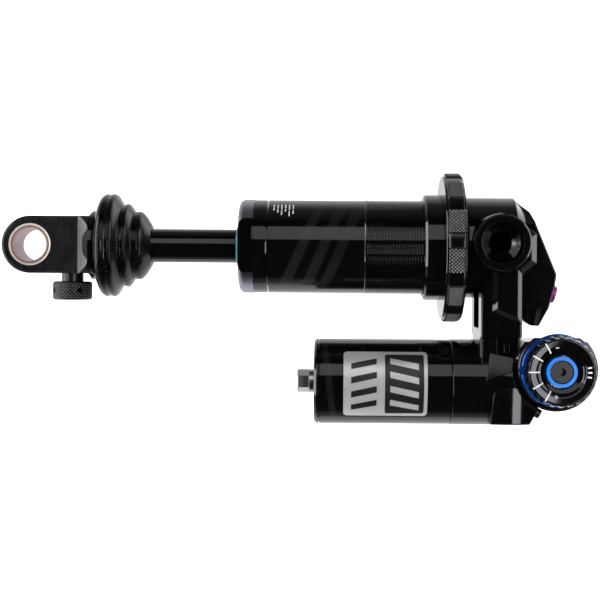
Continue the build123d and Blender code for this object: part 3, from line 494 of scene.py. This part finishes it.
def slab_faces(stations, rows):
    """Faces of a thin slab: the lower grid's points come first, and a rim joins the two."""
    faces = []
    layer = stations * rows
    for station in range(stations - 1):
        for row in range(rows - 1):
            corner = station * rows + row
            quad = (corner, corner + 1, corner + rows + 1, corner + rows)
            faces.append(quad)
            faces.append(tuple(layer + part for part in reversed(quad)))
    rim = list(range(rows))
    rim += [station * rows + rows - 1 for station in range(1, stations)]
    rim += [(stations - 1) * rows + row for row in range(rows - 2, -1, -1)]
    rim += [station * rows for station in range(stations - 2, 0, -1)]
    for start, end in zip(rim, rim[1:] + rim[:1]):
        faces.append((start, end, layer + end, layer + start))
    return faces


PRINT_HALF = 0.03 * MM                # half the thickness of a printed area


def patch(name, place, radius, stations, span, finish, body, rows=24):
    """A thin printed or stuck-on area on a round surface.

    stations are positions along the axis and span(along) gives the lowest and highest
    distance round the surface from the adjuster side there.
    """
    grid = []
    for along in stations:
        low, high = span(along)
        arc = np.linspace(low, high, rows) / radius
        grid.append([place(along, radius + lift, arc) for lift in (-PRINT_HALF, PRINT_HALF)])
    grid = np.array(grid)
    vertices = np.concatenate([grid[:, 0].reshape(-1, 3), grid[:, 1].reshape(-1, 3)])
    return build(name, vertices, slab_faces(len(stations), rows), finish, body, 60)


def rounded_span(centre, half_length, half_width, corner):
    """Span of a rectangle with round corners, for patch()."""
    def span(along):
        inside = half_length - corner
        over = max(0.0, abs(along - centre) - inside)
        drop = corner - math.sqrt(max(0.0, corner**2 - over**2))
        return -(half_width - drop), half_width - drop
    return span


def stations_round(centre, half_length, corner):
    """Positions along a rectangle with round corners, close together at its ends."""
    curve = [corner * (1 - math.cos(math.pi / 2 * step / 8)) for step in range(9)]
    left = [centre - half_length + part for part in curve]
    right = [centre + half_length - part for part in reversed(curve)]
    middle = np.linspace(left[-1], right[0], 8)[1:-1].tolist()
    return left + middle + right


# ============================================================================
# Damper tube, with its real thread
# ============================================================================

SHAFT_PLACE = about_x()
tube_low, tube_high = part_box("damper_tube")
THREAD_R = tube_high.z
TUBE_R = THREAD_R - 0.35 * MM
TUBE_BORE_R = 16.0 * MM
TUBE_END_R = 18.0 * MM
PITCH = 1.125 * MM
THREAD_DEPTH = 0.42 * MM
SMOOTH_LENGTH = 38.2 * MM             # from the seal head to the thread
UNDERCUT_LENGTH = 4.9 * MM            # inside the head, past the thread
THREAD_START = tube_low.x + SMOOTH_LENGTH
THREAD_END = tube_high.x - UNDERCUT_LENGTH
TUBE_EDGE = 0.06 * MM

plain_part = [
    (tube_low.x, TUBE_BORE_R), (tube_low.x, TUBE_R - TUBE_EDGE), (tube_low.x + TUBE_EDGE, TUBE_R),
    (THREAD_START - 0.3 * MM, TUBE_R), (THREAD_START, THREAD_R - 0.1 * MM),
]
threaded_part = [(along, THREAD_R) for along in np.arange(THREAD_START + 0.1 * MM, THREAD_END,
                                                           PITCH / 12)]
end_part = [(THREAD_END, THREAD_R - 0.3 * MM), (THREAD_END, TUBE_END_R),
            (tube_high.x, TUBE_END_R), (tube_high.x, TUBE_BORE_R)]


def thread_relief(along, radius, angle):
    """Depth of a helical thread on the rows that carry it."""
    phase = (along - THREAD_START) / PITCH - angle / TURN
    height = np.clip(2.2 * zigzag(phase) - 0.5, 0, 1)
    start = np.clip((along - THREAD_START) / PITCH, 0, 1)
    carries = (radius > THREAD_R - 0.01 * MM) * start
    return -THREAD_DEPTH * (1 - height) * carries


tube = lathe("damper_tube_threaded", plain_part + threaded_part + end_part, SHAFT_PLACE,
             "tube_black", "damper_body", 224, thread_relief)
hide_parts("damper_tube")

# ============================================================================
# Preload collar
# ============================================================================

collar_low, collar_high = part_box("preload_collar")
COLLAR_BORE_R = THREAD_R + 0.05 * MM
NOTCH_COUNT = 12
NOTCH_MIDDLE = math.radians(4.0)
NOTCH_HALF = math.radians(6.25)
NOTCH_DEPTH = 0.7 * MM
COLLAR_KNURL_PITCH = 1.35 * MM
COLLAR_KNURL_DEPTH = 0.32 * MM

collar_outline = [
    (collar_low.x, COLLAR_BORE_R), (collar_low.x, COLLAR_R - 0.7 * MM),
    (collar_low.x + 0.7 * MM, COLLAR_R), (collar_high.x - 1.2 * MM, COLLAR_R),
    (collar_high.x, COLLAR_R - 1.2 * MM), (collar_high.x, COLLAR_BORE_R),
]


def collar_relief(along, radius, angle):
    """Twelve smooth notches, with a diamond knurl between them."""
    sector = TURN / NOTCH_COUNT
    offset = (angle - NOTCH_MIDDLE + sector / 2) % sector - sector / 2
    notch = np.clip((NOTCH_HALF - np.abs(offset)) / math.radians(0.9), 0, 1)
    rim = np.clip((radius - (COLLAR_R - 1.6 * MM)) / (1.2 * MM), 0, 1)
    edge = np.minimum(along - collar_low.x, collar_high.x - along)
    between = rim * (1 - notch) * np.clip(edge / (0.6 * MM), 0, 1)
    grooves = 1 - diamonds(along, angle, COLLAR_R, COLLAR_KNURL_PITCH)
    return -NOTCH_DEPTH * notch * rim - COLLAR_KNURL_DEPTH * grooves * between


collar = lathe("preload_collar_knurled",
               refine(soften(collar_outline, 0.35 * MM), 0.16 * MM), SHAFT_PLACE, "collar_knurl",
               "preload_collar", 1440, collar_relief, 50)
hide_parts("preload_collar")

# ============================================================================
# Bottom-out bumper
# ============================================================================

bumper_low, bumper_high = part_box("bumper")
BUMPER_PROFILE = [                    # (along, radius) in mm, from the eyelet's flange
    (0.0, 13.2), (0.9, 16.6), (2.2, 19.4), (3.3, 20.4), (4.3, 20.6), (5.4, 20.35), (6.3, 20.55),
    (7.4, 20.5), (8.4, 19.6), (9.6, 17.6), (10.6, 16.45), (11.8, 16.65), (12.8, 16.6),
    (13.8, 15.5), (15.0, 13.75), (16.2, 13.65), (17.5, 13.6), (18.7, 12.7), (19.9, 11.2),
    (20.7, 9.9), (21.5, 8.6), (21.88, 7.9),
]
BUMPER_BORE = 6.95
BUMPER_LENGTH = BUMPER_PROFILE[-1][0]


def flowing(points, steps=10):
    """Catmull-Rom curve through (along, radius) points."""
    ends = [points[0]] + list(points) + [points[-1]]
    curve = []
    for index in range(len(points) - 1):
        before, start, end, after = (np.array(ends[index + part]) for part in range(4))
        for step in range(steps):
            t = step / steps
            curve.append(0.5 * (2 * start + (end - before) * t
                                + (2 * before - 5 * start + 4 * end - after) * t**2
                                + (3 * start - before - 3 * end + after) * t**3))
    return [tuple(point) for point in curve] + [tuple(points[-1])]


bumper_outline = [(0.0, BUMPER_BORE)] + flowing(BUMPER_PROFILE) + [(BUMPER_LENGTH, BUMPER_BORE)]
bumper_outline = [(bumper_low.x + along * MM, radius * MM) for along, radius in bumper_outline]


def bumper_relief(along, radius, angle):
    """Slight unevenness of moulded foam."""
    wave = np.sin(3 * angle + 900 * along) * np.sin(5 * angle + 1.3)
    return 0.05 * MM * wave * (radius > 8 * MM)


bumper = lathe("bumper_foam", bumper_outline, SHAFT_PLACE, "speckled_rubber", "shaft_assembly",
               224, bumper_relief, 60)
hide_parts("bumper")
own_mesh(bumper)

# ============================================================================
# Rebound knob
# ============================================================================

knob_low, knob_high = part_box("rebound_knob")
REBOUND_X = (knob_low.x + knob_high.x) / 2
REBOUND_R = 7.8 * MM
SPIGOT_R = 3.0 * MM
KNOB_KNURL_PITCH = 1.45 * MM
KNOB_KNURL_DEPTH = 0.3 * MM
KEY_HOLE_R = 1.15 * MM
KEY_HOLE_ANGLE = math.radians(-57)
knob_outline = [
    (knob_low.z, SPIGOT_R), (knob_low.z, REBOUND_R - 0.6 * MM),
    (knob_low.z + 0.6 * MM, REBOUND_R), (knob_high.z - 0.6 * MM, REBOUND_R),
    (knob_high.z, REBOUND_R - 0.6 * MM), (knob_high.z, SPIGOT_R),
]


def knob_relief(along, radius, angle):
    """Diamond knurl over the knob's rim."""
    edge = np.minimum(along - knob_low.z, knob_high.z - along)
    rim = (radius > REBOUND_R - 0.3 * MM) * np.clip(edge / (0.7 * MM) - 0.4, 0, 1)
    grooves = 1 - diamonds(along, angle, REBOUND_R, KNOB_KNURL_PITCH)
    return -KNOB_KNURL_DEPTH * grooves * rim


# the last colour is a painted highlight on the knob knurl's crests
FINISH["knob_knurl"] = knurled("knob_knurl", (1, 1, 0), (REBOUND_X, 0, 0), REBOUND_R, 0.06 * MM,
                               (0.09, 0.09, 0.093))
rebound_knob = lathe("rebound_knob_knurled", refine(soften(knob_outline, 0.3 * MM), 0.14 * MM),
                     about_z(REBOUND_X), "knob_knurl", "rebound_adjuster", 416,
                     knob_relief, 50)
cutters = []
for hole in range(4):
    angle = KEY_HOLE_ANGLE + hole * TURN / 4
    outward = Vector((math.sin(angle), -math.cos(angle), 0))
    middle = Vector((REBOUND_X, 0, (knob_low.z + knob_high.z) / 2))
    bpy.ops.mesh.primitive_cylinder_add(vertices=32, radius=KEY_HOLE_R, depth=6 * MM,
                                        location=middle + outward * 8 * MM)
    cutter = bpy.context.object
    cutter.rotation_mode = "QUATERNION"
    cutter.rotation_quaternion = outward.to_track_quat("Z", "Y")
    cutters.append(cutter)
cut(rebound_knob, cutters)
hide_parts("rebound_knob")

# ============================================================================
# Low-speed compression dial, with its markings
# ============================================================================

dial_low, dial_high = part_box("lsc_dial")
cap_low, cap_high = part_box("hsc_cap")
KNOB_X = (cap_low.x + cap_high.x) / 2
KNOB_Z = (cap_low.z + cap_high.z) / 2
KNOB_PLACE = about_y(KNOB_X, KNOB_Z)
DIAL_FRONT = -dial_low.y
DIAL_BACK = -dial_high.y
DIAL_R = 13.9 * MM
DIAL_HOLE_R = 6.2 * MM
FACE_RIM = DIAL_R - 1.0 * MM
FACE_FLAT = DIAL_R - 1.5 * MM
SCALLOPS = 24
DISH_R = 9.6 * MM                     # the face slopes in from here
DISH_FLOOR_R = 8.1 * MM
DISH_EDGE_DROP = 0.35 * MM
DISH_DROP = 1.5 * MM
dial_outline = [
    (DIAL_BACK, DIAL_HOLE_R), (DIAL_BACK, DIAL_R - 1.1 * MM),
    (DIAL_BACK + 1.5 * MM, DIAL_R - 0.3 * MM), (DIAL_BACK + 4.5 * MM, DIAL_R),
    (DIAL_BACK + 7.2 * MM, DIAL_R - 0.5 * MM), (DIAL_FRONT - 0.25 * MM, FACE_RIM),
    (DIAL_FRONT, FACE_FLAT), (DIAL_FRONT - DISH_EDGE_DROP, DISH_R),
    (DIAL_FRONT - DISH_DROP, DISH_FLOOR_R), (DIAL_FRONT - 2.2 * MM, DIAL_HOLE_R),
]


def dial_relief(along, radius, angle):
    """Shallow finger scallops round the rim."""
    phase = (angle * SCALLOPS / TURN) % 1.0 - 0.5
    hollow = np.clip(1 - (phase / 0.32) ** 2, 0, 1)
    rim = np.clip((radius - FACE_RIM) / (0.7 * MM), 0, 1)
    return -0.62 * MM * hollow * rim


dial = lathe("lsc_dial_scalloped", refine(soften(dial_outline, 0.5 * MM), 0.3 * MM), KNOB_PLACE,
             "dial_black", "lsc_adjuster", 720, dial_relief, 45)
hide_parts("lsc_dial")


def face_height(radius):
    """How far forward the dial's dished face is at a radius."""
    return np.interp(radius, [DISH_FLOOR_R, DISH_R, FACE_FLAT, FACE_RIM],
                     [DIAL_FRONT - DISH_DROP, DIAL_FRONT - DISH_EDGE_DROP, DIAL_FRONT,
                      DIAL_FRONT - 0.25 * MM])


def face_mark(name, radius0, radius1, angle0, angle1):
    """A printed area on the dial's face between two radii and two angles, in degrees."""
    steps = 10
    radii = np.linspace(radius0, radius1, steps)
    vertices = []
    for lift in (-0.02 * MM, 0.03 * MM):
        for radius in radii:
            for angle in np.linspace(angle0(radius), angle1(radius), steps):
                height = face_height(radius) + lift
                vertices.append(KNOB_PLACE(height, radius, math.radians(angle)))
    return build(name, np.array(vertices), slab_faces(steps, steps), "paint_white",
                 "lsc_adjuster", 60)


def bar_edges(middle, half_width):
    """Angles of a bar of even width that points outwards."""
    def low(radius):
        return middle - math.degrees(half_width / radius)

    def high(radius):
        return middle + math.degrees(half_width / radius)
    return low, high


for tick, middle in enumerate((121, 150.5, 180, 209.5, 239)):
    low, high = bar_edges(middle, 0.27 * MM)
    face_mark(f"dial_tick_{tick + 1}", 8.3 * MM, FACE_RIM - 0.1 * MM, low, high)


def crossbar(middle, radius, length, thickness, upright):
    """Edges of a short bar at a place on the dial, level or upright in the dial's own turn."""
    half = (thickness if upright else length) / 2
    reach = (length if upright else thickness) / 2
    low, high = bar_edges(middle, half)
    return radius - reach, radius + reach, low, high


SIGN_R = 9.6 * MM
MINUS_ANGLE, PLUS_ANGLE = 102, 256.5
face_mark("dial_minus", *crossbar(MINUS_ANGLE, SIGN_R, 1.3 * MM, 0.34 * MM, False))
face_mark("dial_plus_1", *crossbar(PLUS_ANGLE, SIGN_R, 1.4 * MM, 0.26 * MM, False))
face_mark("dial_plus_2", *crossbar(PLUS_ANGLE, SIGN_R, 1.4 * MM, 0.26 * MM, True))
for bar, middle in enumerate((-10, 0, 10)):
    low, high = bar_edges(middle, 0.3 * MM)
    face_mark(f"dial_bar_{bar + 1}", 9.7 * MM, 11.3 * MM, low, high)

# ============================================================================
# Printed graphics: plain stripes and bars in place of the maker's lettering
# ============================================================================

reservoir_low, reservoir_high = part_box("reservoir_tube")
RESERVOIR_R = (reservoir_high.z - reservoir_low.z) / 2
RESERVOIR_Z = (reservoir_high.z + reservoir_low.z) / 2
RESERVOIR_PLACE = about_x(RESERVOIR_Z)
LABEL_X = 141.0 * MM
LABEL_HALF = 16.4 * MM                # half its length along the reservoir
LABEL_ARC = 14.1 * MM                 # half its height, measured round the surface
PANEL_X = 148.4 * MM
PANEL_HALF = 7.6 * MM
PANEL_ARC = 12.6 * MM
DARK_BARS_X = 132.6 * MM
BAR_PITCH = 5.6 * MM
BAR_HALF = 1.25 * MM
BAR_LEAN = 0.22


def print_on_reservoir(name, stations, span, finish, lift):
    """A printed area on the reservoir; each layer lies a little further out."""
    return patch(name, RESERVOIR_PLACE, RESERVOIR_R + lift * MM, stations, span, finish,
                 "damper_body")


print_on_reservoir("reservoir_label", stations_round(LABEL_X, LABEL_HALF, 1.7 * MM),
                   rounded_span(LABEL_X, LABEL_HALF, LABEL_ARC, 1.7 * MM), "label_silver", 0.0)
print_on_reservoir("label_panel", stations_round(PANEL_X, PANEL_HALF, 0.9 * MM),
                   rounded_span(PANEL_X, PANEL_HALF, PANEL_ARC, 0.9 * MM), "label_black", 0.03)


def slanted_bar(middle_x, half_length, middle_arc, half_arc, lean):
    """Stations and span of a bar along X whose ends lean over."""
    def span(along):
        shift = lean * (along - middle_x)
        return middle_arc + shift - half_arc, middle_arc + shift + half_arc
    return np.linspace(middle_x - half_length, middle_x + half_length, 14), span


for bar in range(4):
    height = (bar - 1.5) * BAR_PITCH
    print_on_reservoir(f"label_dark_bar_{bar + 1}",
                       *slanted_bar(DARK_BARS_X, 5.0 * MM, height, BAR_HALF, BAR_LEAN),
                       "label_black", 0.03)
    print_on_reservoir(f"label_pale_bar_{bar + 1}",
                       *slanted_bar(PANEL_X, 5.6 * MM, height, BAR_HALF, -BAR_LEAN),
                       "label_silver", 0.06)


def band(name, place, radius, x_low, x_high, lean, limits):
    """A broad stripe that crosses a tube at a slant, cut off level at its two ends."""
    bottom, top = limits

    def span(along):
        edges = sorted((lean * (along - x_low), lean * (along - x_high)))
        return max(bottom, edges[0]), min(top, edges[1])
    ends = [x + edge / lean for x in (x_low, x_high) for edge in limits]
    stations = np.linspace(min(ends), max(ends), 60)[1:-1]
    return patch(name, place, radius, stations, span, "tone_grey", "damper_body",
                 rows=40)


STRIPE_WIDTH = 4.2
for stripe, start in enumerate((106.0, 114.5, 121.5)):
    band(f"tube_stripe_{stripe + 1}", SHAFT_PLACE, TUBE_R, start * MM,
         (start + STRIPE_WIDTH) * MM, 2.4, (-24 * MM, 24 * MM))
band("reservoir_stripe", RESERVOIR_PLACE, RESERVOIR_R, 117.8 * MM, 120.4 * MM, -9.0,
     (-19 * MM, 19 * MM))

DASH_X, DASH_PITCH = 96.9, 1.5
DASH_TOP = 19.8 * MM
DASH_HALF = 0.22 * MM
for column, length in enumerate((4.16, 5.44, 6.72, 4.8, 7.36, 6.08)):
    middle = (DASH_X + DASH_PITCH * column) * MM
    for part, (start, end) in enumerate(((0.0, 0.55), (0.65, 1.0))):
        span_low, span_high = DASH_TOP - end * length * MM, DASH_TOP - start * length * MM
        patch(f"tube_dash_{column + 1}_{part + 1}", SHAFT_PLACE, TUBE_R,
              np.linspace(middle - DASH_HALF, middle + DASH_HALF, 3),
              lambda along, low=span_low, high=span_high: (low, high), "paint_white",
              "damper_body", rows=8)

# ============================================================================
# Bright edge round the eyelet's bore
# ============================================================================

EYE_PLACE = about_y(0.0, 0.0)
EYE_HALF = 8.25 * MM                  # half the eyelet's thickness
for side, label in ((1, "front"), (-1, "rear")):
    face = side * EYE_HALF
    lathe(f"eyelet_edge_{label}", soften([
        (face - side * 1.2 * MM, 7.49 * MM), (face - side * 0.62 * MM, 7.5 * MM),
        (face + side * 0.03 * MM, 8.1 * MM), (face + side * 0.03 * MM, 8.32 * MM),
        (face - side * 0.6 * MM, 7.9 * MM), (face - side * 1.2 * MM, 7.6 * MM),
    ], 0.08 * MM, 2), EYE_PLACE, "edge_aluminium", "shaft_assembly", 160)

# ============================================================================
# Studio
# ============================================================================

FLOOR_Z = cad_low.z - 230 * MM
BACK_Y = 900 * MM
SWEEP_R = 0.4
FLOOR_REACH, WALL_HEIGHT, HALF_WIDTH = 3.0, 3.0, 4.0


def sweep():
    """Floor that curves up into a backdrop."""
    profile = [(-FLOOR_REACH, 0.0), (BACK_Y - SWEEP_R, 0.0)]
    for step in range(1, 13):
        angle = math.pi / 2 * step / 12
        profile.append((BACK_Y - SWEEP_R + SWEEP_R * math.sin(angle),
                        SWEEP_R - SWEEP_R * math.cos(angle)))
    profile.append((BACK_Y, WALL_HEIGHT))
    vertices = [(x, y, FLOOR_Z + z) for x in (-HALF_WIDTH, HALF_WIDTH) for y, z in profile]
    count = len(profile)
    faces = [(i, i + 1, count + i + 1, count + i) for i in range(count - 1)]
    mesh = bpy.data.meshes.new("studio_floor")
    mesh.from_pydata(vertices, [], faces)
    mesh.shade_smooth()
    floor = bpy.data.objects.new("studio_floor", mesh)
    bpy.context.scene.collection.objects.link(floor)
    material, nodes, links = new_material("studio_white")
    shader = nodes["Principled BSDF"]
    shader.inputs["Base Color"].default_value = (0.9, 0.9, 0.9, 1)
    shader.inputs["Roughness"].default_value = 1.0
    shader.inputs["Emission Color"].default_value = (1, 1, 1, 1)
    shader.inputs["Emission Strength"].default_value = 0.75
    mesh.materials.append(material)
    floor.visible_glossy = False


sweep()


def softbox(name, location, target, width, height, power):
    """Rectangular area light, in metres and watts, that faces target."""
    light = bpy.data.lights.new(name, "AREA")
    light.shape = "RECTANGLE"
    light.size, light.size_y = width, height
    light.energy = power
    lamp = bpy.data.objects.new(name, light)
    bpy.context.scene.collection.objects.link(lamp)
    lamp.location = location
    lamp.rotation_euler = (Vector(target) - Vector(location)).to_track_quat("-Z", "Y").to_euler()


centre = (cad_low + cad_high) / 2
softbox("front_top_softbox", centre + Vector((0, -0.67, 0.44)), centre, 1.6, 0.46, 3.0)
softbox("left_strip", centre + Vector((-0.8, -0.05, 0.1)), centre, 0.35, 0.9, 6.0)
softbox("right_strip", centre + Vector((0.8, -0.05, 0.1)), centre, 0.35, 0.9, 3.0)
softbox("front_left_strip", centre + Vector((-0.70, -0.58, 0.0)), centre, 0.12, 0.80, 3.2)
softbox("front_right_strip", centre + Vector((0.40, -0.86, -0.04)), centre, 0.20, 0.46, 1.8)
softbox("rear_right_softbox", centre + Vector((0.60, 0.52, 0.50)), centre, 0.5, 0.5, 1.2)

SKY_LEVEL = 2.0                       # a ramp's 1.0 is this many times the backdrop's white


def studio_world():
    """White behind and below the shock, dark in front of it, so that black faces stay black."""
    world = bpy.data.worlds.new("studio_world")
    bpy.context.scene.world = world
    world.use_nodes = True
    nodes, links = world.node_tree.nodes, world.node_tree.links
    background = nodes["Background"]
    coordinates = nodes.new("ShaderNodeTexCoord")
    split = nodes.new("ShaderNodeSeparateXYZ")
    links.new(coordinates.outputs["Generated"], split.inputs["Vector"])

    def ramp(stops):
        """Brightness by direction, from -1 straight in front to 1 straight behind."""
        half = nodes.new("ShaderNodeMapRange")
        half.inputs["From Min"].default_value = -1.0
        links.new(split.outputs["Y"], half.inputs["Value"])
        colors = nodes.new("ShaderNodeValToRGB")
        elements = colors.color_ramp.elements
        while len(elements) < len(stops):
            elements.new(0.5)
        for element, (position, level) in zip(elements, stops):
            element.position = (position + 1) / 2
            element.color = (level, level, level, 1)
        links.new(half.outputs["Result"], colors.inputs["Fac"])
        return colors.outputs["Color"]

    above = ramp([(-0.45, 0.0015), (-0.2, 0.05), (0.25, 0.11), (0.65, 0.5)])
    below = ramp([(-0.14, 0.0015), (-0.02, 0.10), (0.22, 0.22), (0.36, 0.62)])
    upward = nodes.new("ShaderNodeMapRange")
    upward.inputs["From Min"].default_value = -0.05
    upward.inputs["From Max"].default_value = 0.05
    links.new(split.outputs["Z"], upward.inputs["Value"])
    around = nodes.new("ShaderNodeMix")
    around.data_type = "RGBA"
    links.new(upward.outputs["Result"], around.inputs["Factor"])
    links.new(below, around.inputs["A"])
    links.new(above, around.inputs["B"])
    path = nodes.new("ShaderNodeLightPath")
    mix = nodes.new("ShaderNodeMix")
    mix.data_type = "RGBA"
    mix.inputs["B"].default_value = (1 / SKY_LEVEL, 1 / SKY_LEVEL, 1 / SKY_LEVEL, 1)
    background.inputs["Strength"].default_value = SKY_LEVEL
    links.new(path.outputs["Is Camera Ray"], mix.inputs["Factor"])
    links.new(around.outputs["Result"], mix.inputs["A"])
    links.new(mix.outputs["Result"], background.inputs["Color"])


studio_world()
bpy.context.scene.view_settings.view_transform = "Standard"
